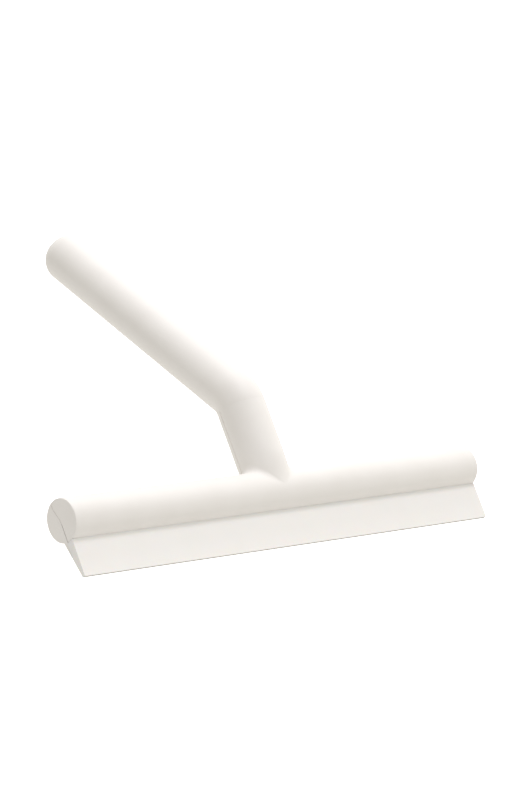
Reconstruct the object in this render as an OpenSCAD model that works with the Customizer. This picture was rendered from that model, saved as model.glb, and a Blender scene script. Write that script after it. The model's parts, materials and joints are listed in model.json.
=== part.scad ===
// Window cleaning squeegee: a round head bar with a wiping blade, a neck and a bent handle.
// Millimetres. The finished part lies as it would on a table, on its blade and its handle end:
// X runs along the head, +Y towards the end of the handle, +Z up.
// Pieces are drawn in the head's own frame, where Z is the neck's axis and +Y its back,
// and place() lays the whole squeegee down.

/* [Head] */
// Length of the head, and of the blade
head_len = 250; // [180:5:350]
// Diameter of the round head bar
head_d = 20; // [19:0.5:24]
// Wall of the hollow upper half of the head
head_wall = 2.6; // [2:0.1:3]
// Thickness of the closed ends of the head
end_wall = 3; // [2:0.5:5]

/* [Blade] */
// Distance from the head's axis to the wiping edge
blade_reach = 27; // [22:0.5:36]
// Distance of the blade's front face from the neck's axis plane
blade_face = 3; // [2.5:0.1:3.5]
// Distance of the blade's back face from that plane, where it leaves the head
blade_back = 2.9; // [2.6:0.1:3.5]
// Width of the flat wiping edge
blade_edge = 1.8; // [1:0.1:2.2]
// Depth of the hooked rib that holds the blade in the head
rib_h = 2.6; // [2:0.1:3]
// How far the hooked rib stands in front of the blade's face
rib_hook = 1.8; // [1:0.1:2]
// Distance from the head's axis to the end of the stiff lip behind the blade
lip_reach = 16; // [13:0.5:18]
// Thickness of the lip at its end
lip_edge = 0.6; // [0.4:0.1:1]

/* [Seam between the two shells] */
// Distance of the seam behind the neck's axis plane, below the head's axis
seam_low = 0.6; // [0.3:0.1:1]
// Distance of the seam behind that plane, in the top of the head and the neck
seam_high = 2.8; // [2:0.1:3.2]
// Height above the head's axis where the seam starts to lean back
lean_start = 0.5; // [0:0.1:0.8]
// Height above the head's axis where it is upright again
lean_end = 6.5; // [5:0.5:8]
// Gap between the shells
seam_gap = 0.1; // [0.05:0.05:0.2]
// Width of the slit in the head's closed ends, above the blade
slit_gap = 0.35; // [0.1:0.05:0.5]

/* [Neck and handle] */
// Outer diameter of the neck and of the grip, which run flush
stem_d = 23; // [21.5:0.5:28]
// Distance from the head's axis to the bend's corner
neck_len = 47.5; // [46:0.5:70]
// Distance from the bend's corner to the tip of the handle
handle_len = 141; // [100:1:200]
// Angle between the neck and the handle
bend_angle = 35.5; // [20:0.5:45]
// Radius of the bend's centre line
bend_r = 15; // [14.5:0.5:16]
// Radius of the rounding at the handle's end
end_round = 8.6; // [6:0.1:10]
// Radius of the scoops that bring the neck flush with the head, front and back
scoop_r = 65; // [50:5:90]

/* [Core of the neck and handle] */
// Diameter of the cast elbow's leg inside the neck
leg_d = 13; // [11:0.5:13]
// Height above the head's axis of the leg's lower end
leg_start = 12; // [11.5:0.5:14]
// Outer diameter of the steel tube, and of the elbow between the leg and the tube
tube_d = 14; // [13.5:0.5:14.5]
// Wall of the tube
tube_wall = 1.2; // [1:0.1:2]
// Length of the elbow's spigot inside the tube
spigot_len = 18; // [14:1:40]
// Diameter of the pin through the tube and the spigot
tube_pin_d = 3; // [2:0.5:4]
// Depth of silicone over the cap at the handle's end
grip_end = 6.5; // [5:0.5:9]
// Thickness of the cap's flange on the far end of the tube
cap_flange = 3; // [2:0.5:4]
// Length of the cap's stem inside the tube
cap_stem = 14; // [8:1:30]
// Section diameter of the sealing ring at the top of the neck
seal_d = 2.2; // [1.6:0.2:2.4]

/* [Fasteners] */
// Distance of the inner shell screws from the middle of the head
screw_inner = 44; // [32:1:50]
// Distance of the outer shell screws from the head's ends
screw_inset = 21; // [15:1:28]
// Height of the screws above the head's axis
screw_z = 2.3; // [2.2:0.1:2.6]
// Diameter of the shell screws
screw_d = 3; // [2.5:0.5:3]
// Diameter of a screw's head
screw_head_d = 5.6; // [5:0.1:6]
// Height of a screw's head
screw_head_h = 1.8; // [1.4:0.1:2]
// Distance behind the neck's axis plane where a screw's head seats
screw_seat = 5.4; // [5:0.1:5.6]
// Length of a shell screw under its head
screw_len = 9; // [8:0.5:10]
// Outer diameter of the brass inserts
insert_d = 4.6; // [4.2:0.1:4.8]
// Length of the brass inserts
insert_len = 4.5; // [3:0.5:5]
// Height of the lower neck bolt above the head's axis
bolt_low = 20; // [18.5:0.5:21]
// Distance of the upper neck bolt below the top of the neck
bolt_drop = 6.5; // [6.5:0.5:9]
// Diameter of the neck bolts
bolt_d = 4; // [3:0.5:4]
// Diameter of a neck bolt's head
bolt_head_d = 7.2; // [6:0.2:7.6]
// Height of a neck bolt's head
bolt_head_h = 1.5; // [1.2:0.1:1.6]
// Thickness of plastic between the elbow's leg and a neck bolt's head
bolt_seat = 1.5; // [1.2:0.1:1.6]
// Width of the neck nuts across their flats
nut_flats = 7; // [6:0.5:7]
// Thickness of the neck nuts
nut_h = 2.2; // [1.8:0.1:2.2]
// Thickness of the steel strip behind the blade's rib
strip_t = 1; // [0.8:0.1:1.5]
// Height of the steel strip
strip_h = 6; // [4:0.5:6.5]

/* [Hidden] */
$fn = 64;

// Clearances
fit = 0.05;              // pieces that touch once assembled
bolt_clear = 0.2;        // round a bolt or screw shank
joint_gap = 0.15;        // between the neck, the elbow's sleeve and the grip
over = 1;                // how far a cutting solid runs past what it cuts

head_r = head_d / 2;
bore_r = head_r - head_wall;
stem_r = stem_d / 2;
tube_r = tube_d / 2;
tube_in_r = tube_r - tube_wall;
seal_r = seal_d / 2;
leg_r = leg_d / 2;
elbow_run = bend_r * tan(bend_angle / 2);     // straight length that the bend takes from each side
neck_top = neck_len - elbow_run;              // where the bend starts
shell_top = neck_top - joint_gap;             // where the shells end, just under it
neck_floor = leg_start - fit;                 // bottom of the socket for the elbow's leg
neck_wall = 2.5;                              // round the hollow between the neck's ribs
neck_rib = 3;                                 // thickness of the rib between the two bolts
boss_wall = 1;                                // round a screw's or bolt's head
recess_h = 0.9;                               // depth of the driver's recess in a screw's or bolt's head
tip_past = 0.2;                               // how far a bolt's tip stands past its nut
tip_room = 0.6;                               // empty depth past the tip of a shell screw
web_root = 0.5;                               // how far the blade's web runs down into its wedge
lip_start = -head_r - web_root;               // height where the lip's front face leaves the seam
rib_top = -1.4;                               // top of the blade's rib, just under the screws
rib_bottom = rib_top - rib_h;
strip_drop = 0.2;                             // distance of the steel strip's top under the rib's top
strip_top = rib_top - strip_drop;
chamber_floor = -0.8;                         // floor of the head's hollow half
big = 2 * (head_len + handle_len);
scoop_sink = 0.1;                             // the scoops' lowest lines lie this far inside the head bar
screw_places = [for (x = [screw_inner, head_len / 2 - screw_inset], side = [-1, 1]) side * x];
screw_tip_y = screw_seat - screw_len;
screw_plug_r = screw_head_d / 2 + bolt_clear;
bolt_high = shell_top - bolt_drop;
bolt_places = [bolt_low, bolt_high];
bolt_plug_r = bolt_head_d / 2 + bolt_clear;
bolt_seat_y = leg_r + fit + bolt_seat;
bolt_tip_y = -(leg_r + 3 * fit + nut_h + tip_past);
hollow_low = bolt_low - 6;                    // ends of the hollow in the neck
hollow_high = bolt_high + 3;
hollow_mid = (bolt_low + bolt_high) / 2;
tube_pin_len = 2 * sqrt(pow(tube_r, 2) - pow(tube_pin_d / 2, 2));   // its ends stay inside the tube
cap_s = handle_len - grip_end - cap_flange;   // the tube's far end, from the bend's corner
end_flat = stem_r - end_round;

// The squeegee lies on the blade's edge, or on the head where the blade is short, and on the handle end
end_y = (handle_len - end_round) * sin(bend_angle) + end_flat * cos(bend_angle);
end_z = neck_len + (handle_len - end_round) * cos(bend_angle) - end_flat * sin(bend_angle);
edge_y = blade_edge - blade_face;
edge_z = -blade_reach;
function lean_on(y, z, r) =
    atan2(end_y - y, end_z - z) + asin((end_round - r) / norm([end_y - y, end_z - z]));
rise = min(lean_on(edge_y, edge_z, 0), lean_on(0, 0, head_r));   // slope of the neck as it lies
floor_z = end_z * sin(rise) - end_y * cos(rise) - end_round;
front_y = min(-head_r, edge_z * cos(rise) - blade_face * sin(rise), edge_z * cos(rise) + edge_y * sin(rise));
tip_s = handle_len - end_round;               // where the rounding of the handle's end starts
droop = bend_angle - rise;                    // slope of the handle as it lies, downwards
tip_y = neck_len * cos(rise) + tip_s * cos(droop) + end_flat * abs(sin(droop)) + end_round;

module place() {
    translate([0, -(front_y + tip_y) / 2, -floor_z]) rotate([rise - 90, 0, 0]) children();
}

// Outline in the head's side view (first value +Y, second +Z) drawn along X
module along_x(length) {
    translate([-length / 2, 0, 0]) rotate([90, 0, 90]) linear_extrude(height = length) children();
}

module rod_x(r, length) {
    translate([-length / 2, 0, 0]) rotate([0, 90, 0]) cylinder(r = r, h = length);
}

// Cylinder along Y from y0 back to y1
module rod_y(r, y0, y1) {
    translate([0, y0, 0]) rotate([-90, 0, 0]) cylinder(r = r, h = y1 - y0);
}

module on_handle() {
    translate([0, 0, neck_len]) rotate([-bend_angle, 0, 0]) children();
}

// Turned shape swept round the bend, between the neck and the handle
module round_bend() {
    translate([0, bend_r, neck_top]) rotate([90, 0, -90])
        rotate_extrude(angle = bend_angle) translate([bend_r, 0]) children();
}

module ring(r, bore) {
    difference() {
        circle(r = r);
        circle(r = bore);
    }
}

// Outline of everything in front of the seam, shifted back by gap
module front_side(gap) {
    polygon([[-big, -big], [seam_low + gap, -big], [seam_low + gap, lean_start],
             [seam_high + gap, lean_end], [seam_high + gap, big], [-big, big]]);
}

module at_screws() {
    for (x = screw_places) translate([x, 0, screw_z]) children();
}

module at_tube_pin() {
    translate([0, 0, elbow_run + spigot_len / 2]) children();
}

module at_bolts() {
    for (z = bolt_places) translate([0, 0, z]) children();
}

// Where the blade's back face lies at height z
function back_at(z) = blade_back + (edge_y - blade_back) * (z + head_r) / (edge_z + head_r);

module blade_outline() {
    polygon([[-blade_face, -head_r / 2], [-blade_face, edge_z], [edge_y, edge_z],
             [back_at(-lip_reach), -lip_reach], [back_at(-lip_reach) - lip_edge, -lip_reach],
             [seam_low, lip_start], [seam_low, -head_r / 2]]);
}

// The lip belongs to the back shell, and leans forward of the seam where the blade is short or its edge thin
module lip_outline() {
    polygon([[seam_low + seam_gap / 2, over - head_r], [seam_low + seam_gap / 2, lip_start],
             [back_at(-lip_reach) - lip_edge, -lip_reach], [back_at(-lip_reach), -lip_reach],
             [blade_back, -head_r], [blade_back, over - head_r]]);
}

// The blade's part inside the head: a web from root under the head, and a rib hooked to the front
module tab_outline(gap, root) {
    polygon([[-blade_face - gap, -head_r - root], [-blade_face - gap, rib_bottom - gap],
             [-blade_face - rib_hook - gap, rib_bottom - gap], [-blade_face - rib_hook - gap, rib_top + gap],
             [seam_low, rib_top + gap], [seam_low, -head_r - root]]);
}

module strip_outline(gap) {
    translate([seam_low, strip_top - strip_h - gap]) square([strip_t + gap, strip_h + 2 * gap]);
}

// The neck's outside, inset by gap
module neck_outside(gap) {
    difference() {
        cylinder(r = stem_r - gap, h = shell_top);
        for (side = [-1, 1])
            translate([0, side * (head_r + scoop_r - scoop_sink), 0]) rod_x(scoop_r + gap, stem_d + 2 * over);
    }
}

module head_inside() {
    difference() {
        intersection() {
            rod_x(bore_r, head_len - 2 * end_wall);
            translate([-head_len / 2, -head_r, chamber_floor]) cube([head_len, head_d, head_d]);
        }
        at_screws() rod_y(screw_plug_r + boss_wall, -head_r, head_r);
    }
}

module neck_inside() {
    translate([0, 0, neck_floor]) cylinder(r = leg_r + fit, h = neck_top);
    // The front half opens straight back, so that the leg drops into it
    translate([-leg_r - fit, 0, neck_floor]) cube([leg_d + 2 * fit, seam_high, neck_top]);
    translate([0, 0, shell_top - seal_d]) cylinder(r = leg_r + seal_d + fit, h = seal_d + over);
    difference() {
        translate([0, 0, hollow_low]) cylinder(r = stem_r - neck_wall, h = hollow_high - hollow_low);
        translate([0, 0, hollow_mid - neck_rib / 2]) cylinder(r = stem_r, h = neck_rib);
        at_bolts() rod_y(bolt_plug_r + boss_wall, -stem_r, stem_r);
    }
}

module shell_blank() {
    difference() {
        union() {
            rod_x(head_r, head_len);
            neck_outside(0);
        }
        head_inside();
        neck_inside();
        along_x(head_len - 2 * end_wall) tab_outline(fit, over);
        along_x(head_len - 2 * end_wall) strip_outline(fit);
    }
}

module front_shell() {
    color("#f1eeea") place() difference() {
        intersection() {
            shell_blank();
            along_x(head_len) front_side(-seam_gap / 2);
        }
        at_screws() rod_y(insert_d / 2 + fit / 2, seam_low - insert_len - fit, seam_high + over);
        at_screws() rod_y(screw_d / 2 + bolt_clear, screw_tip_y - tip_room, seam_high);
        at_bolts() rod_y(bolt_d / 2 + bolt_clear, bolt_tip_y - fit, 0);
        at_bolts() translate([0, -leg_r, 0]) rotate([90, 0, 0])
            cylinder(r = (nut_flats / 2 + fit) / cos(30), h = nut_h + 3 * fit, $fn = 6);
        // Slit in the closed ends, from the blade up to the top of its rib
        along_x(head_len) translate([seam_low - slit_gap, -head_r - over])
            square([slit_gap, head_r + over + rib_top]);
    }
}

module back_shell() {
    color("#efece8") place() difference() {
        union() {
            along_x(head_len) lip_outline();
            intersection() {
                shell_blank();
                difference() {
                    along_x(head_len) square(big, center = true);
                    along_x(head_len + over) front_side(seam_gap / 2);
                }
            }
        }
        at_screws() rod_y(screw_d / 2 + bolt_clear, 0, head_r);
        at_screws() rod_y(screw_plug_r, screw_seat, head_r + over);
        at_bolts() rod_y(bolt_d / 2 + bolt_clear, 0, stem_r);
        at_bolts() rod_y(bolt_plug_r, bolt_seat_y, stem_r + over);
    }
}

module blade() {
    color("#f4f2ef") place() union() {
        difference() {
            along_x(head_len) blade_outline();
            rod_x(head_r + fit, head_len + over);
        }
        along_x(head_len - 2 * end_wall - 2 * fit) tab_outline(0, web_root);
    }
}

module blade_strip() {
    color("#b9bcc0") place() along_x(head_len - 2 * end_wall - 2 * fit) translate([fit, 0]) strip_outline(0);
}

// Screw along Y from its tip back to its seat, with a six-sided recess in its head for the driver
module headed_screw(d, tip, seat, top_d, top_h) {
    rod_y(d / 2, tip, seat);
    difference() {
        rod_y(top_d / 2, seat, seat + top_h);
        translate([0, seat + top_h + over, 0]) rotate([90, 0, 0])
            cylinder(d = 0.4 * top_d, h = recess_h + over, $fn = 6);
    }
}

module shell_screws() {
    color("#c3c6c9") place() at_screws()
        headed_screw(screw_d, screw_tip_y, screw_seat, screw_head_d, screw_head_h);
}

module screw_inserts() {
    color("#c9a45c") place() at_screws() difference() {
        rod_y(insert_d / 2, seam_low - insert_len, seam_low);
        rod_y(screw_d / 2 + fit / 2, seam_low - insert_len - over, seam_low + over);
    }
}

module screw_plugs() {
    color("#efece8") place() {
        intersection() {
            at_screws() rod_y(screw_plug_r - fit, screw_seat + screw_head_h + fit, head_r);
            rod_x(head_r - fit, head_len);
        }
        intersection() {
            at_bolts() rod_y(bolt_plug_r - fit, bolt_seat_y + bolt_head_h + fit, stem_r);
            neck_outside(fit);
        }
    }
}

module elbow_core() {
    color("#a9abad") place() {
        round_bend() circle(r = tube_r);
        difference() {
            translate([0, 0, leg_start]) cylinder(r = leg_r, h = neck_top - leg_start);
            at_bolts() rod_y(bolt_d / 2 + fit, -stem_r, stem_r);
        }
        on_handle() difference() {
            translate([0, 0, elbow_run]) cylinder(r = tube_in_r - fit, h = spigot_len);
            at_tube_pin() rod_x(tube_pin_d / 2 + fit, tube_d);
        }
    }
}

module neck_bolts() {
    color("#c3c6c9") place() at_bolts()
        headed_screw(bolt_d, bolt_tip_y, bolt_seat_y, bolt_head_d, bolt_head_h);
}

module neck_nuts() {
    color("#c3c6c9") place() at_bolts() difference() {
        translate([0, -leg_r - 2 * fit, 0]) rotate([90, 0, 0])
            cylinder(r = nut_flats / 2 / cos(30), h = nut_h, $fn = 6);
        rod_y(bolt_d / 2 + fit / 2, -stem_r, 0);
    }
}

module neck_seal() {
    color("#3a3a3c") place() translate([0, 0, shell_top - seal_r])
        rotate_extrude() translate([leg_r + seal_r + fit, 0]) circle(r = seal_r - fit);
}

module handle_tube() {
    color("#b4b7ba") place() on_handle() difference() {
        translate([0, 0, elbow_run + fit]) linear_extrude(height = cap_s - elbow_run - fit)
            ring(tube_r, tube_in_r);
        at_tube_pin() rod_x(tube_pin_d / 2 + fit, tube_d + over);
    }
}

module tube_pin() {
    color("#c3c6c9") place() on_handle() at_tube_pin() rod_x(tube_pin_d / 2, tube_pin_len);
}

module grip_cap() {
    color("#d8d5d0") place() on_handle() {
        translate([0, 0, cap_s - cap_stem]) cylinder(r = tube_in_r - fit, h = cap_stem);
        translate([0, 0, cap_s]) cylinder(r = tube_r, h = cap_flange);
    }
}

module elbow_sleeve() {
    color("#f3f0ec") place() round_bend() ring(stem_r, tube_r + fit);
}

module grip() {
    color("#f3f0ec") place() on_handle() rotate_extrude() difference() {
        union() {
            translate([0, elbow_run + joint_gap]) square([stem_r, tip_s - elbow_run - joint_gap]);
            // Rounded end of the handle
            translate([0, tip_s - over]) square([end_flat, end_round + over]);
            intersection() {
                translate([end_flat, tip_s]) circle(r = end_round);
                translate([0, tip_s - over]) square([stem_r, end_round + 2 * over]);
            }
        }
        square([tube_r + fit, cap_s + cap_flange + fit]);
    }
}

front_shell();
back_shell();
blade();
blade_strip();
shell_screws();
screw_inserts();
screw_plugs();
elbow_core();
neck_bolts();
neck_nuts();
neck_seal();
handle_tube();
tube_pin();
grip_cap();
elbow_sleeve();
grip();
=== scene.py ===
import json
from math import atan2, cos, pi, radians, sin, tan

import bmesh
import bpy
from mathutils import Matrix, Vector


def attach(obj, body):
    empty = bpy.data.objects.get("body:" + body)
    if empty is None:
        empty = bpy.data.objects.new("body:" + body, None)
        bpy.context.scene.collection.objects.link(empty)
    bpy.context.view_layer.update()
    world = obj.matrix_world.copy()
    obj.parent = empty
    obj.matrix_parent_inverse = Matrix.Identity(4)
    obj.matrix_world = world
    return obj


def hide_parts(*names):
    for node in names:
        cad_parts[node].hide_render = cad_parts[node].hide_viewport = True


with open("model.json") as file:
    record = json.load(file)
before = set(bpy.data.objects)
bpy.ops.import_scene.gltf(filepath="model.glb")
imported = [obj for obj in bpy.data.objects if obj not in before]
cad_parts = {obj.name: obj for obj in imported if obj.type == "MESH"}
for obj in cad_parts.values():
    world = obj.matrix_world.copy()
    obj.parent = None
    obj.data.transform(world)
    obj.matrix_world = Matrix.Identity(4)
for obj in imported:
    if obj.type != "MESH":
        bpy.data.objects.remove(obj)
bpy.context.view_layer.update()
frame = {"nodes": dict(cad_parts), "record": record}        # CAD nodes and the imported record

mm = 0.001
scene = bpy.context.scene

# The squeegee is modelled standing up, in millimetres: X along the head, Z up the neck, Y behind it.
# The record's mounts say where it lies on the table.
mounts = {mount["name"]: mount for mount in frame["record"]["mounts"]}
headCentre = Vector(mounts["hanging_bar"]["pos_m"])
neckUp = -Vector(mounts["wiping_edge"]["axis"])
handleOut = Vector(mounts["handle_bar"]["axis"])
alongHead = Vector((1, 0, 0))
neckBack = neckUp.cross(alongHead)
layDown = Matrix.Translation(headCentre) @ Matrix((alongHead, neckBack, neckUp)).transposed().to_4x4()
standUp = layDown.inverted()


def standingBox(node):   # lowest and highest corner of a CAD node, standing up, in millimetres
    corners = [standUp @ vertex.co / mm for vertex in frame["nodes"][node].data.vertices]
    low = Vector(min(corner[axis] for corner in corners) for axis in range(3))
    high = Vector(max(corner[axis] for corner in corners) for axis in range(3))
    return low, high


# Sizes that several pieces share
shellLow, shellHigh = standingBox("front_shell")
stemRadius = mounts["handle_bar"]["dims"]["r_mm"]
headLength = shellHigh.x - shellLow.x
headRadius = 10
fit = 0.05               # gap between pieces that touch
past = 1                 # how far a cutting piece runs past what it cuts
far = 400                # longer than anything here
weld = 0.002             # vertices this close become one
smoothUnder = 35         # edges that turn less than this many degrees are shaded smooth


# Small tools

def freshStart():        # an operator acts on all that is selected
    bpy.ops.object.select_all(action="DESELECT")


def finishEdit():
    bpy.ops.mesh.select_all(action="SELECT")
    bpy.ops.mesh.remove_doubles(threshold=weld * mm)
    bpy.ops.mesh.normals_make_consistent(inside=False)
    bpy.ops.object.mode_set(mode="OBJECT")


def pickEdges(*tests):   # selects the edges with both ends in one of the places that the tests describe
    bpy.ops.mesh.select_all(action="DESELECT")
    work = bmesh.from_edit_mesh(bpy.context.object.data)
    for edge in work.edges:
        edge.select = any(all(test(vertex.co / mm) for vertex in edge.verts) for test in tests)
    bmesh.update_edit_mesh(bpy.context.object.data)


def rod(radius, start, end, sides=64):
    start, end = Vector(start), Vector(end)
    freshStart()
    bpy.ops.mesh.primitive_cylinder_add(
        vertices=sides, radius=radius * mm, depth=(end - start).length * mm,
        location=(start + end) / 2 * mm, rotation=(end - start).to_track_quat("Z", "Y").to_euler())
    bpy.ops.object.transform_apply(location=True, rotation=True, scale=True)
    return bpy.context.object


def bar(outline, length):    # outline in Y and Z, drawn out along X
    freshStart()
    bpy.ops.mesh.primitive_circle_add(vertices=len(outline), fill_type="NGON")
    piece = bpy.context.object
    for vertex, (y, z) in zip(piece.data.vertices, outline):
        vertex.co = Vector((-length / 2, y, z)) * mm
    bpy.ops.object.mode_set(mode="EDIT")
    bpy.ops.mesh.select_all(action="SELECT")
    bpy.ops.mesh.extrude_region_move(TRANSFORM_OT_translate={"value": (length * mm, 0, 0)})
    finishEdit()
    return piece


def applyModifier(piece, kind, **settings):
    freshStart()
    bpy.context.view_layer.objects.active = piece
    modifier = piece.modifiers.new(kind.title(), kind)
    for name, value in settings.items():
        setattr(modifier, name, value)
    bpy.ops.object.modifier_apply(modifier=modifier.name)


def combine(piece, tool, how):
    applyModifier(piece, "BOOLEAN", object=tool, operation=how, solver="MANIFOLD")
    bpy.data.objects.remove(tool)
    return piece


def cut(piece, *tools):
    for tool in tools:
        combine(piece, tool, "DIFFERENCE")
    return piece


def join(piece, *others):
    for other in others:
        combine(piece, other, "UNION")
    return piece


def copyOf(piece):
    twin = piece.copy()
    twin.data = piece.data.copy()
    scene.collection.objects.link(twin)
    return twin


def finishPiece(piece, name, material, slot, *nodes):
    freshStart()
    bpy.context.view_layer.objects.active = piece
    piece.select_set(True)
    piece.matrix_world = layDown
    bpy.ops.object.transform_apply(location=True, rotation=True, scale=True)
    bpy.ops.object.shade_smooth_by_angle(angle=radians(smoothUnder))
    piece.name = name
    piece.data.materials.clear()
    piece.data.materials.append(material)
    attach(piece, "root")
    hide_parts(*nodes)
    print(f"{name}: {len(piece.data.polygons)} faces")


# Materials

noiseLow, noiseHigh = 0.3, 0.7       # a noise texture mostly stays between these


def sRgb(code):          # hex colour to linear values
    parts = [int(code[i:i + 2], 16) / 255 for i in (1, 3, 5)]
    return [p / 12.92 if p <= 0.04045 else ((p + 0.055) / 1.055) ** 2.4 for p in parts] + [1]


def addNode(tree, kind, **settings):     # settings are the node's own, or inputs by name or number
    inputs = settings.pop("inputs", {})
    node = tree.nodes.new(kind)
    for name, value in settings.items():
        setattr(node, name, value)
    for name, value in inputs.items():
        if isinstance(value, bpy.types.NodeSocket):
            tree.links.new(value, node.inputs[name])
        else:
            node.inputs[name].default_value = value
    return node


def newMaterial(name):
    material = bpy.data.materials.new(name)
    material.use_nodes = True
    tree = material.node_tree
    place = addNode(tree, "ShaderNodeTexCoord").outputs["Object"]
    return material, tree, tree.nodes["Principled BSDF"], place


# Moulded, matte plastic or silicone: a fine even grain from the mould, slight clouding in colour and gloss
def mouldedMaterial(name, look):
    material, tree, surface, place = newMaterial(name)
    clouds = addNode(tree, "ShaderNodeTexNoise", inputs={
        "Vector": place, "Scale": 1 / (look["cloudSize"] * mm), "Detail": 3, "Roughness": 0.5})
    colour = addNode(tree, "ShaderNodeMix", data_type="RGBA", inputs={
        "Factor": clouds.outputs["Fac"], 6: sRgb(look["shade"]), 7: sRgb(look["tint"])})
    gloss = addNode(tree, "ShaderNodeMapRange", inputs={
        "Value": clouds.outputs["Fac"], "From Min": noiseLow, "From Max": noiseHigh,
        "To Min": look["roughness"] - look["roughChange"],
        "To Max": look["roughness"] + look["roughChange"]})
    grain = addNode(tree, "ShaderNodeTexNoise", inputs={
        "Vector": place, "Scale": 1 / (look["grainSize"] * mm), "Detail": 2, "Roughness": 0.6})
    bump = addNode(tree, "ShaderNodeBump", inputs={
        "Height": grain.outputs["Fac"], "Strength": look["grainStrength"],
        "Distance": look["grainDepth"] * mm})
    tree.links.new(colour.outputs[2], surface.inputs["Base Color"])
    tree.links.new(gloss.outputs["Result"], surface.inputs["Roughness"])
    tree.links.new(bump.outputs["Normal"], surface.inputs["Normal"])
    surface.inputs["IOR"].default_value = look["ior"]
    if "softness" in look:           # light that enters soft silicone and comes out nearby
        surface.inputs["Subsurface Weight"].default_value = look["softness"]
        surface.inputs["Subsurface Radius"].default_value = (1, 0.8, 0.6)
        surface.inputs["Subsurface Scale"].default_value = look["softDepth"] * mm
    return material


# Metal with the marks of how it was made: long fine lines from drawing or turning, or an even cast grain
def metalMaterial(name, look):
    material, tree, surface, place = newMaterial(name)
    stretched = addNode(tree, "ShaderNodeMapping", inputs={"Vector": place, "Scale": look["stretch"]})
    marks = addNode(tree, "ShaderNodeTexNoise", inputs={
        "Vector": stretched.outputs["Vector"], "Scale": 1 / (look["markSize"] * mm), "Detail": 4})
    colour = addNode(tree, "ShaderNodeMix", data_type="RGBA", inputs={
        "Factor": marks.outputs["Fac"], 6: sRgb(look["shade"]), 7: sRgb(look["tint"])})
    gloss = addNode(tree, "ShaderNodeMapRange", inputs={
        "Value": marks.outputs["Fac"], "To Min": look["roughness"] - look["roughChange"],
        "To Max": look["roughness"] + look["roughChange"]})
    bump = addNode(tree, "ShaderNodeBump", inputs={
        "Height": marks.outputs["Fac"], "Strength": look["markStrength"],
        "Distance": look["markDepth"] * mm})
    tree.links.new(colour.outputs[2], surface.inputs["Base Color"])
    tree.links.new(gloss.outputs["Result"], surface.inputs["Roughness"])
    tree.links.new(bump.outputs["Normal"], surface.inputs["Normal"])
    surface.inputs["Metallic"].default_value = 1
    return material


# Satin ABS from a spark-eroded mould: warm white, no sharp highlight.
# The real grain is about 0.1 mm; it is drawn at 0.35 mm so that it shows at all.
shellPlastic = mouldedMaterial("mouldedAbsSatin", {
    "shade": "#ece8e3", "tint": "#f3f0ec", "cloudSize": 14,
    "roughness": 0.55, "roughChange": 0.03, "ior": 1.53,
    "grainSize": 0.35, "grainStrength": 0.25, "grainDepth": 0.02})

# Moulded silicone blade: a little lighter and softer than the shells, and it glows where it is thin
bladeSilicone = mouldedMaterial("mouldedSiliconeBlade", {
    "shade": "#f2f0ec", "tint": "#f6f4f1", "cloudSize": 20,
    "roughness": 0.42, "roughChange": 0.04, "ior": 1.43,
    "grainSize": 0.5, "grainStrength": 0.12, "grainDepth": 0.02,
    "softness": 0.25, "softDepth": 1.5})

# Moulded silicone grip: the same white with a dry, soft-touch surface
gripSilicone = mouldedMaterial("mouldedSiliconeGrip", {
    "shade": "#ece8e3", "tint": "#f3f0ec", "cloudSize": 16,
    "roughness": 0.58, "roughChange": 0.03, "ior": 1.5,
    "grainSize": 0.4, "grainStrength": 0.25, "grainDepth": 0.02})

# Wiping edge: duller than the moulded faces, and greyer, which is painted shade where the edge lies against
# the table
paintedShadeEdge = mouldedMaterial("bladeEdgePaintedShade", {
    "shade": "#b9b6b0", "tint": "#c4c1bb", "cloudSize": 3,
    "roughness": 0.7, "roughChange": 0.05, "ior": 1.43,
    "grainSize": 0.3, "grainStrength": 0.4, "grainDepth": 0.02})

# Natural moulded nylon: ivory, waxy
innerNylon = mouldedMaterial("mouldedNylon", {
    "shade": "#ddd8cc", "tint": "#e6e2d8", "cloudSize": 6,
    "roughness": 0.5, "roughChange": 0.05, "ior": 1.53,
    "grainSize": 0.4, "grainStrength": 0.3, "grainDepth": 0.02})

# Moulded nitrile: near black, dull
sealRubber = mouldedMaterial("mouldedNitrile", {
    "shade": "#1d1d1f", "tint": "#2a2a2c", "cloudSize": 3,
    "roughness": 0.6, "roughChange": 0.05, "ior": 1.52,
    "grainSize": 0.2, "grainStrength": 0.4, "grainDepth": 0.02})

# Drawn stainless: grey with fine lines along the piece
steel = metalMaterial("drawnStainless", {
    "shade": "#b3b4b6", "tint": "#c6c7c8", "roughness": 0.3, "roughChange": 0.08,
    "stretch": (0.2, 1, 1), "markSize": 0.3, "markStrength": 0.2, "markDepth": 0.02})

# Cast aluminium: pale grey, dull and grainy
castAluminium = metalMaterial("castAluminium", {
    "shade": "#b4b5b5", "tint": "#c9caca", "roughness": 0.5, "roughChange": 0.08,
    "stretch": (1, 1, 1), "markSize": 0.5, "markStrength": 0.7, "markDepth": 0.02})

# Turned brass: yellow, with the fine rings of the lathe
turnedBrass = metalMaterial("turnedBrass", {
    "shade": "#c9a557", "tint": "#dcbd72", "roughness": 0.28, "roughChange": 0.08,
    "stretch": (1, 1, 6), "markSize": 0.4, "markStrength": 0.3, "markDepth": 0.02})


# Shells: round head bar and neck, blended into each other

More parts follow.
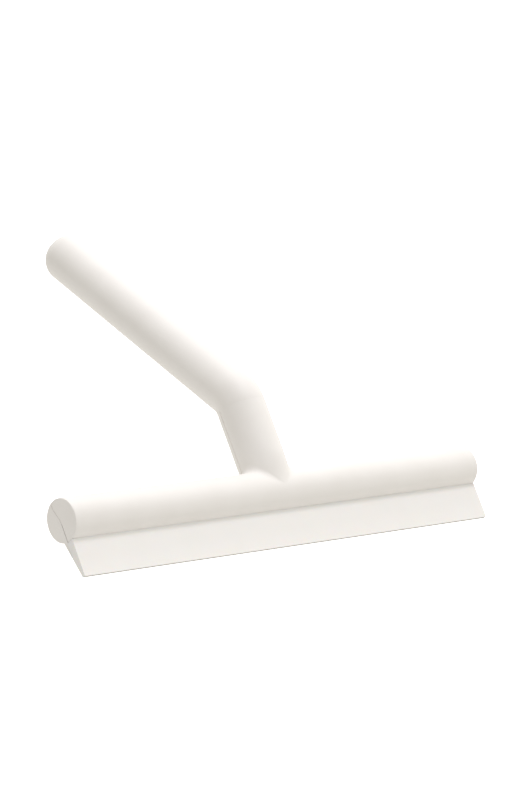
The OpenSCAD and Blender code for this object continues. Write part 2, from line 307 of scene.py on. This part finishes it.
shell = {
    "neckTop": shellHigh.z, "endRound": 0.5, "endRoundSteps": 4,
    "blendSize": 4, "neckStraightFrom": 17, "blendZone": 20,
    "neckRings": 12, "blendRings": 8, "barRings": 6,
    # The seam, its gap and the groove along it, and the slit above the blade
    "seamLow": 0.6, "seamHigh": 2.8, "leanStart": 0.5, "leanEnd": 6.5, "seamGap": 0.04,
    "grooveWidth": 0.42, "grooveDepth": 0.22, "slitWidth": 0.35,
    # The bar's hollow, the lip behind the blade, and the room for the blade's rib
    "bore": 7.4, "boreFloor": -0.8, "endWall": 3, "lipReach": 16, "lipEdge": 0.6,
    "ribTop": -1.4, "ribHeight": 2.6, "ribHook": 1.8,
    # The neck's socket for the elbow's leg, its hollow and the rib across that
    "legRadius": 6.5, "legFloor": 12, "sealSize": 2.2,
    "hollow": 9, "hollowLow": 14, "hollowHigh": 39, "ribLow": 26.5, "ribHigh": 29.5,
    # Bolts across the neck, by height
    "bolts": (20, 36.05), "boltHole": 2.2, "boltPlug": 3.8, "boltSeat": 8.05, "boltTip": -9,
    "nut": 4.1, "nutDepth": 2.35, "nutSides": 6,
    # Screws along the bar, by distance from its middle
    "screws": (-104, -44, 44, 104), "screwHeight": 2.3, "screwHole": 1.7, "screwPlug": 3, "screwSeat": 5.4,
    "screwTip": -4.2, "insert": 2.325, "insertLength": 4.5, "bossWall": 1,
}
# The blade's sizes come here, because the shells are cut to hold it
blade = {
    "face": -3, "edge": -1.2, "back": 2.9, "reach": -standingBox("blade")[0].z, "webRoot": 0.5,
    "endRound": 0.5, "endRoundSteps": 3, "edgeFacing": 0.95,
    "strip": 1, "stripTop": -1.6, "stripBottom": -7.6,
}
columns = 192                     # vertices round the neck
barSides = 128                    # and round the bar
openSides = 36                    # sides of the bar that the neck's foot takes, front and back
openTurn = 2 * pi * openSides / barSides
cornerColumn = 12                 # the neck's column that runs to a corner of the opening
turnSlack = 0.01                  # angles this close are the same
halvings = 30                     # steps of a search that halves its range each time


def neckDepth(z):                 # half the neck's depth, which narrows to the bar's at its foot
    share = min(z / shell["neckStraightFrom"], 1)
    return headRadius + (stemRadius - headRadius) * share * share * (3 - 2 * share)


def neckPoint(turn, z, inset):
    return Vector(((stemRadius - inset) * sin(turn), (inset - neckDepth(z)) * cos(turn), z))


def barPoint(x, turn, inset):     # turn goes from the bar's top to its front
    return Vector((x, (inset - headRadius) * sin(turn), (headRadius - inset) * cos(turn)))


def meetingHeight(turn, inset):   # where the neck's surface meets the bar's
    low, high = 0, headRadius
    for step in range(halvings):
        middle = (low + high) / 2
        if neckPoint(turn, middle, inset).yz.length < headRadius - inset:
            low = middle
        else:
            high = middle
    return low


def openingEdge(column):          # (x, turn) on the bar where a column ends
    zone = shell["blendZone"]
    side = 1 if column <= columns / 2 else -1
    column = min(column, columns - column)
    if column <= cornerColumn:
        return side * zone * column / cornerColumn, openTurn
    if column >= columns / 2 - cornerColumn:
        return side * zone * (columns / 2 - column) / cornerColumn, -openTurn
    return side * zone, openTurn - 2 * pi * (column - cornerColumn) / barSides


def blendPoint(column, ring, inset):      # rings run down the neck, round the blend and out along the bar
    turn = 2 * pi * column / columns
    size = shell["blendSize"] * abs(sin(turn))
    meeting = meetingHeight(turn, inset)
    neckFoot = meeting + size
    if ring <= shell["neckRings"]:
        if ring == 0:
            return neckPoint(turn, shell["neckTop"] - inset, inset)
        share = (ring - 1) / (shell["neckRings"] - 1)
        return neckPoint(turn, shell["neckStraightFrom"] * (1 - share) + neckFoot * share, inset)
    corner = neckPoint(turn, meeting, inset)
    barX = corner.x + size * sin(turn)
    barTurn = atan2(-corner.y, corner.z) + size * cos(turn) / headRadius
    ring -= shell["neckRings"]
    if ring <= shell["blendRings"]:
        share = ring / shell["blendRings"]
        return (neckPoint(turn, neckFoot, inset) * (1 - share) ** 2 + corner * 2 * share * (1 - share)
                + barPoint(barX, barTurn, inset) * share ** 2)
    share = (ring - shell["blendRings"]) / shell["barRings"]
    edgeX, edgeTurn = openingEdge(column)
    return barPoint(barX * (1 - share) + edgeX * share, barTurn * (1 - share) + edgeTurn * share, inset)


def barAndNeck(inset):            # the outside of both shells, or a smaller copy of it
    half = headLength / 2 - inset
    zone = shell["blendZone"]
    rings = shell["neckRings"] + shell["blendRings"] + shell["barRings"]
    bar = rod(headRadius - inset, (-half, 0, 0), (half, 0, 0), barSides)
    bpy.ops.object.mode_set(mode="EDIT")
    for x in (-zone, zone):
        bpy.ops.mesh.select_all(action="SELECT")
        bpy.ops.mesh.bisect(plane_co=(x * mm, 0, 0), plane_no=(1, 0, 0))
    # Open the bar under the neck, and give the opening's sides as many vertices as the neck has there
    work = bmesh.from_edit_mesh(bar.data)
    for face in work.faces:
        middle = face.calc_center_median() / mm
        face.select = abs(middle.x) < zone / 2 and abs(atan2(middle.y, middle.z)) < openTurn
    bmesh.update_edit_mesh(bar.data)
    bpy.ops.mesh.delete(type="FACE")
    pickEdges(lambda p: abs(p.x) < zone + fit and abs(abs(atan2(p.y, p.z)) - openTurn) < turnSlack)
    bpy.ops.mesh.subdivide(number_cuts=2 * cornerColumn - 1)
    bpy.ops.object.mode_set(mode="OBJECT")
    # The neck starts as a flat grid, and each of its vertices takes its place by column and ring
    freshStart()
    bpy.ops.mesh.primitive_grid_add(x_subdivisions=columns, y_subdivisions=rings, size=2)
    neck = bpy.context.object
    for vertex in neck.data.vertices:
        column = round((vertex.co.x + 1) / 2 * columns)
        ring = round((vertex.co.y + 1) / 2 * rings)
        vertex.co = blendPoint(column, ring, inset) * mm
    bar.select_set(True)
    bpy.ops.object.join()
    bpy.ops.object.mode_set(mode="EDIT")
    bpy.ops.mesh.select_all(action="SELECT")
    bpy.ops.mesh.remove_doubles(threshold=weld * mm)
    pickEdges(lambda p: p.z > shell["neckTop"] - inset - fit)
    bpy.ops.mesh.edge_face_add()
    finishEdit()
    return neck


def frontOfSeam(shift):           # all that lies in front of the seam
    low, high = shell["seamLow"] + shift, shell["seamHigh"] + shift
    return bar([(-far, -far), (low, -far), (low, shell["leanStart"]), (high, shell["leanEnd"]),
                (high, far), (-far, far)], 2 * far)


def backAt(z):                    # the blade's back face
    return blade["back"] + (blade["edge"] - blade["back"]) * (z + headRadius) / (headRadius - blade["reach"])


def webOutline(gap, root):        # the blade's web and hooked rib inside the bar
    face, hook = blade["face"] - gap, blade["face"] - shell["ribHook"] - gap
    top, bottom = shell["ribTop"] + gap, shell["ribTop"] - shell["ribHeight"] - gap
    return [(face, -headRadius - root), (face, bottom), (hook, bottom), (hook, top),
            (shell["seamLow"], top), (shell["seamLow"], -headRadius - root)]


def rodsBack(radius, start, end, places, sides=64):      # rods along Y at each place
    return [rod(radius, (x, start, z), (x, end, z), sides) for x, z in places]


screwPlaces = [(x, shell["screwHeight"]) for x in shell["screws"]]
boltPlaces = [(0, z) for z in shell["bolts"]]
lipRoot = backAt(-headRadius)
lipFace = backAt(-shell["lipReach"])
lipStart = -headRadius - blade["webRoot"]     # where the lip's front leaves the seam

outside = barAndNeck(0)
bpy.ops.object.mode_set(mode="EDIT")
pickEdges(lambda p: p.x < fit - headLength / 2, lambda p: p.x > headLength / 2 - fit)
bpy.ops.mesh.bevel(offset=shell["endRound"] * mm, segments=shell["endRoundSteps"], affect="EDGES")
finishEdit()

lip = bar([(shell["seamLow"], -headRadius / 2), (shell["seamLow"], lipStart),
           (lipFace - shell["lipEdge"], -shell["lipReach"]), (lipFace, -shell["lipReach"]),
           (lipRoot, -headRadius), (lipRoot, -headRadius / 2)], headLength)
join(outside, lip)

# Parting groove: a sheet along the seam, less what lies deeper than the groove
half = shell["grooveWidth"] / 2
low, high = shell["seamLow"], shell["seamHigh"]
groove = bar([(low - half, shell["ribTop"]), (low + half, shell["ribTop"]),
              (low + half, shell["leanStart"]), (high + half, shell["leanEnd"]),
              (high + half, far), (high - half, far),
              (high - half, shell["leanEnd"]), (low - half, shell["leanStart"])], 2 * far)
cut(groove, barAndNeck(shell["grooveDepth"]))
cut(outside, groove)
print("shell outside ready")

# Inside the bar: a hollow above the blade's rib, with a boss round each screw
innerLength = headLength - 2 * shell["endWall"]
chamber = rod(shell["bore"], (-innerLength / 2, 0, 0), (innerLength / 2, 0, 0), barSides)
cut(chamber, bar([(-far, -far), (far, -far), (far, shell["boreFloor"]), (-far, shell["boreFloor"])], far))
cut(chamber, *rodsBack(shell["screwPlug"] + shell["bossWall"], -headRadius, headRadius, screwPlaces))

# Inside the neck: a socket for the elbow's leg, a hollow with a rib and two bosses, and the ring's groove
top = shell["neckTop"] + past
legHole = shell["legRadius"] + fit
hollow = rod(shell["hollow"], (0, 0, shell["hollowLow"]), (0, 0, shell["hollowHigh"]))
cut(hollow, rod(stemRadius, (0, 0, shell["ribLow"]), (0, 0, shell["ribHigh"])))
cut(hollow, *rodsBack(shell["boltPlug"] + shell["bossWall"], -stemRadius, stemRadius, boltPlaces))
socket = rod(legHole, (0, 0, shell["legFloor"] - fit), (0, 0, top))
ringSeat = rod(legHole + shell["sealSize"], (0, 0, shell["neckTop"] - shell["sealSize"]), (0, 0, top))
join(socket, hollow, ringSeat)

webSlot = bar(webOutline(fit, past), innerLength)
low, high = shell["seamLow"] - fit, shell["seamLow"] + blade["strip"] + fit
bottom, top = blade["stripBottom"] - fit, blade["stripTop"] + fit
stripSlot = bar([(low, bottom), (low, top), (high, top), (high, bottom)], innerLength)
cut(outside, chamber, socket, webSlot, stripSlot)

back = copyOf(outside)
front = outside
cut(back, frontOfSeam(shell["seamGap"] / 2))
behindSeam = bar([(-far, -far), (far, -far), (far, far), (-far, far)], 2 * far)
cut(behindSeam, frontOfSeam(-shell["seamGap"] / 2))
cut(front, behindSeam)

# Front shell: sockets for the inserts and nuts, and a slit in the closed ends above the blade
insertFloor = shell["seamLow"] - shell["insertLength"] - fit
nutFloor = -shell["legRadius"] - shell["nutDepth"]
cut(front, *rodsBack(shell["insert"], insertFloor, headRadius, screwPlaces))
cut(front, *rodsBack(shell["screwHole"], shell["screwTip"], headRadius, screwPlaces))
cut(front, *rodsBack(shell["boltHole"], shell["boltTip"], 0, boltPlaces))
cut(front, *rodsBack(shell["nut"], nutFloor, -shell["legRadius"], boltPlaces, shell["nutSides"]))
low, high = shell["seamLow"] - shell["slitWidth"], shell["seamLow"]
bottom, top = -headRadius - past, shell["ribTop"]
cut(front, bar([(low, bottom), (high, bottom), (high, top), (low, top)], headLength + 2 * past))

# Back shell: clear holes for screws and bolts, with wider recesses for their heads and plugs
cut(back, *rodsBack(shell["screwHole"], 0, headRadius, screwPlaces))
cut(back, *rodsBack(shell["screwPlug"], shell["screwSeat"], headRadius + past, screwPlaces))
cut(back, *rodsBack(shell["boltHole"], 0, stemRadius, boltPlaces))
cut(back, *rodsBack(shell["boltPlug"], shell["boltSeat"], stemRadius + past, boltPlaces))

finishPiece(front, "frontShell", shellPlastic, "shell_plastic", "front_shell")
finishPiece(back, "backShell", shellPlastic, "shell_plastic", "back_shell")


# Blade: a wedge with a flat front, its web and rib

wedge = bar([(blade["face"], -headRadius / 2), (blade["face"], -blade["reach"]),
             (blade["edge"], -blade["reach"]), (lipFace, -shell["lipReach"]),
             (lipFace - shell["lipEdge"], -shell["lipReach"]),
             (shell["seamLow"], lipStart), (shell["seamLow"], -headRadius / 2)], headLength)
freshStart()
bpy.context.view_layer.objects.active = wedge
bpy.ops.object.mode_set(mode="EDIT")
pickEdges(lambda p: p.x < fit - headLength / 2, lambda p: p.x > headLength / 2 - fit)
bpy.ops.mesh.bevel(offset=blade["endRound"] * mm, segments=blade["endRoundSteps"], affect="EDGES")
finishEdit()
cut(wedge, rod(headRadius + fit, (-headLength, 0, 0), (headLength, 0, 0), barSides))
join(wedge, bar(webOutline(0, blade["webRoot"]), innerLength - 2 * fit))
finishPiece(wedge, "wipingBlade", bladeSilicone, "blade_silicone", "blade")
# The wiping edge takes the greyer material: painted shade where the blade meets the table
wedge.data.materials.append(paintedShadeEdge)
for face in wedge.data.polygons:  # the edge is the only face that looks straight down the neck
    face.material_index = int(face.normal.dot(neckUp) < -blade["edgeFacing"])


# Grip: one soft skin round the bend and over the handle

grip = {
    "boreRadius": 7.05, "boreEnd": 6.45, "endRound": 8.6, "jointGap": 0.15, "sides": 96, "bendSteps": 16,
    "roundSteps": 12, "jointClosed": 0.11,
}
handleMiddle = standUp @ Vector(mounts["handle_bar"]["pos_m"]) / mm
handleWay = (standUp.to_3x3() @ handleOut).normalized()
bendAngle = atan2(handleWay.y, handleWay.z)
bendCorner = Vector((0, 0, handleMiddle.z - handleMiddle.y / tan(bendAngle)))
straightLength = mounts["handle_bar"]["dims"]["length_mm"]
cornerToStraight = (handleMiddle - bendCorner).length - straightLength / 2 - grip["jointGap"]
bendRadius = cornerToStraight / tan(bendAngle / 2)
bendStart = bendCorner - Vector((0, 0, cornerToStraight))


# A round rod from below the bend, round it and along the handle, with a rounded end or a flat one
def bentRod(radius, lead, length, endRound):
    freshStart()
    bpy.ops.mesh.primitive_circle_add(
        vertices=grip["sides"], radius=radius * mm, fill_type="NGON",
        location=(bendStart - Vector((0, 0, lead))) * mm)
    bpy.ops.object.transform_apply(location=True, rotation=True, scale=True)
    piece = bpy.context.object
    bpy.ops.object.mode_set(mode="EDIT")
    bpy.ops.mesh.select_all(action="SELECT")
    bpy.ops.mesh.extrude_region_move(TRANSFORM_OT_translate={"value": (0, 0, lead * mm)})
    bpy.ops.mesh.spin(steps=grip["bendSteps"], angle=bendAngle, axis=(1, 0, 0),
                      center=(bendStart + Vector((0, bendRadius, 0))) * mm)
    straight = length - cornerToStraight - endRound
    bpy.ops.mesh.extrude_region_move(TRANSFORM_OT_translate={"value": handleWay * straight * mm})
    ringRadius, reach = radius, 0
    steps = grip["roundSteps"] if endRound else 0
    for step in range(1, steps + 1):
        turn = pi / 2 * step / grip["roundSteps"]
        nextRadius, nextReach = radius - endRound * (1 - cos(turn)), endRound * sin(turn)
        onward = handleWay * (nextReach - reach)
        bpy.ops.mesh.extrude_region_move(TRANSFORM_OT_translate={"value": onward * mm})
        centre = bendCorner + handleWay * (length - endRound + nextReach)
        bpy.ops.transform.resize(value=[nextRadius / ringRadius] * 3, center_override=centre * mm)
        ringRadius, reach = nextRadius, nextReach
    finishEdit()
    return piece


handleLength = cornerToStraight + grip["jointGap"] + straightLength + grip["endRound"]
skin = bentRod(stemRadius, grip["jointClosed"], handleLength, grip["endRound"])
cut(skin, bentRod(grip["boreRadius"], past, handleLength - grip["boreEnd"], 0))
finishPiece(skin, "gripSkin", gripSilicone, "grip_silicone", "elbow_sleeve", "grip")


# CAD nodes that keep their own shape

keptNodes = {
    "screw_plugs": shellPlastic, "blade_strip": steel, "shell_screws": steel, "screw_inserts": turnedBrass,
    "elbow_core": castAluminium, "neck_bolts": steel, "neck_nuts": steel, "neck_seal": sealRubber,
    "handle_tube": steel, "tube_pin": steel, "grip_cap": innerNylon,
}
for node, material in keptNodes.items():
    mesh = frame["nodes"][node].data
    mesh.materials.clear()
    mesh.materials.append(material)
print("kept nodes finished")


# Floor, light and camera

studio = {
    "floorSize": 40, "ambient": 0.91, "lean": (0.33, 0.1, -0.22), "ambientTint": "#fffdf8",
    "lampTint": "#f8f8ff",
    "lamps": {"topLamp": ((0.1, 0.35, 1.3), 6.4, 0.35), "rearLamp": ((0.3, 0.9, 0.9), 3.3, 0.35),
              "endLamp": ((-0.42, -0.18, 0.08), 0.07, 0.12)},    # place, power and size in metres
}
freshStart()
bpy.ops.mesh.primitive_plane_add(size=studio["floorSize"])
floor = bpy.context.object
floor.name = "studioFloor"
floor.visible_diffuse = False
floor.visible_glossy = False
floorMaterial, tree, surface = newMaterial("whitePaperSweep")[:3]
surface.inputs["Base Color"].default_value = sRgb("#ffffff")
surface.inputs["Emission Color"].default_value = sRgb("#ffffff")
surface.inputs["Emission Strength"].default_value = 1
floor.data.materials.append(floorMaterial)

world = bpy.data.worlds.new("softStudio")
world.use_nodes = True
scene.world = world
tree = world.node_tree
background = tree.nodes["Background"]
way = addNode(tree, "ShaderNodeTexCoord").outputs["Generated"]
lean = addNode(tree, "ShaderNodeVectorMath", operation="DOT_PRODUCT", inputs={0: way, 1: studio["lean"]})
level = addNode(tree, "ShaderNodeMath", operation="ADD", inputs={
    0: lean.outputs["Value"], 1: studio["ambient"]})
background.inputs["Color"].default_value = sRgb(studio["ambientTint"])
tree.links.new(level.outputs["Value"], background.inputs["Strength"])

for name, (place, power, size) in studio["lamps"].items():
    lamp = bpy.data.objects.new(name, bpy.data.lights.new(name, "AREA"))
    lamp.data.size = size
    lamp.data.energy = power
    lamp.data.color = sRgb(studio["lampTint"])[:3]
    lamp.location = place
    lamp.rotation_euler = lamp.location.to_track_quat("Z", "Y").to_euler()
    lamp.visible_camera = False
    scene.collection.objects.link(lamp)

view = {
    "azimuth": -52.0509, "elevation": 30.4091, "roll": 26.7085, "distance": 1699.1,
    "aim": (33.03, -24.98, 18.21), "lens": 163.77, "sensor": 36, "farthest": 100,
}
camera = bpy.data.objects.new("camera", bpy.data.cameras.new("camera"))
camera.data.lens = view["lens"]
camera.data.sensor_width = view["sensor"]
camera.data.clip_end = view["farthest"]
turn = (Matrix.Rotation(radians(view["azimuth"]), 4, "Z")
        @ Matrix.Rotation(radians(90 - view["elevation"]), 4, "X")
        @ Matrix.Rotation(radians(view["roll"]), 4, "Z"))
camera.matrix_world = (Matrix.Translation(Vector(view["aim"]) * mm) @ turn
                       @ Matrix.Translation((0, 0, view["distance"] * mm)))
scene.collection.objects.link(camera)
scene.camera = camera
scene.view_settings.view_transform = "Standard"
print("studio ready")
